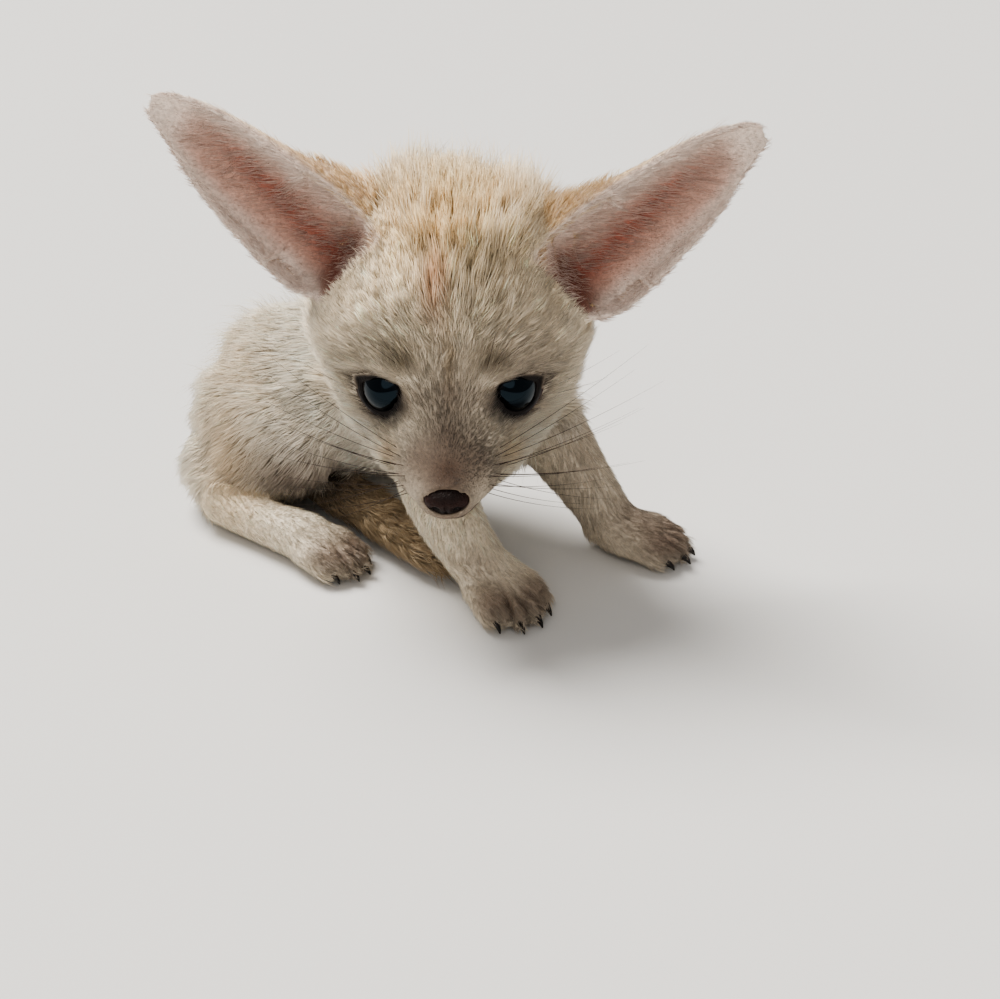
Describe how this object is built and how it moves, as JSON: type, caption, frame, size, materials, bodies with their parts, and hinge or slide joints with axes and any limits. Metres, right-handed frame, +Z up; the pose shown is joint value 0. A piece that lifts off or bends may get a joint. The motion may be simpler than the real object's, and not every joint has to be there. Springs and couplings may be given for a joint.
{
  "type": "fennec fox",
  "caption": "Life-size still model of a young fennec fox sitting low with its head down, large ears spread and tail curled under.",
  "frame": {"origin": "on the floor, under the middle of the model's box", "axes": "+Z up; the face looks towards -Y and down; the animal's left is towards +X, and its body trails back towards -X and +Y"},
  "size_m": [0.1524, 0.1262, 0.115],
  "materials": {
    "coat": "soft cream fur",
    "ear_back": "short sandy fur with a white edge, pink inside",
    "paw_coat": "short cream and taupe fur",
    "tail_coat": "buff fur with dark tips",
    "nose": "moist dark brown skin",
    "eye": "wet and very dark",
    "claw": "smooth dark horn"
  },
  "bodies": {
    "root": {"head": "coat", "nose": "nose", "eye_right": "eye", "eye_left": "eye", "ear_right": "ear_back", "ear_left": "ear_back", "neck": "coat", "torso": "coat", "foreleg_right": "coat", "forepaw_right": "paw_coat", "thigh_right": "coat", "hind_foot_right": "paw_coat", "foreleg_left": "coat", "forepaw_left": "paw_coat", "thigh_left": "coat", "hind_foot_left": "paw_coat", "tail_base": "tail_coat", "tail_middle": "tail_coat", "tail_tip": "tail_coat", "forepaw_right_claw_1": "claw", "forepaw_right_claw_2": "claw", "forepaw_right_claw_3": "claw", "forepaw_right_claw_4": "claw", "forepaw_left_claw_1": "claw", "forepaw_left_claw_2": "claw", "forepaw_left_claw_3": "claw", "forepaw_left_claw_4": "claw", "hind_foot_right_claw_1": "claw", "hind_foot_right_claw_2": "claw", "hind_foot_right_claw_3": "claw", "hind_foot_right_claw_4": "claw", "hind_foot_left_claw_1": "claw", "hind_foot_left_claw_2": "claw", "hind_foot_left_claw_3": "claw", "hind_foot_left_claw_4": "claw"}
  },
  "joints": []
}
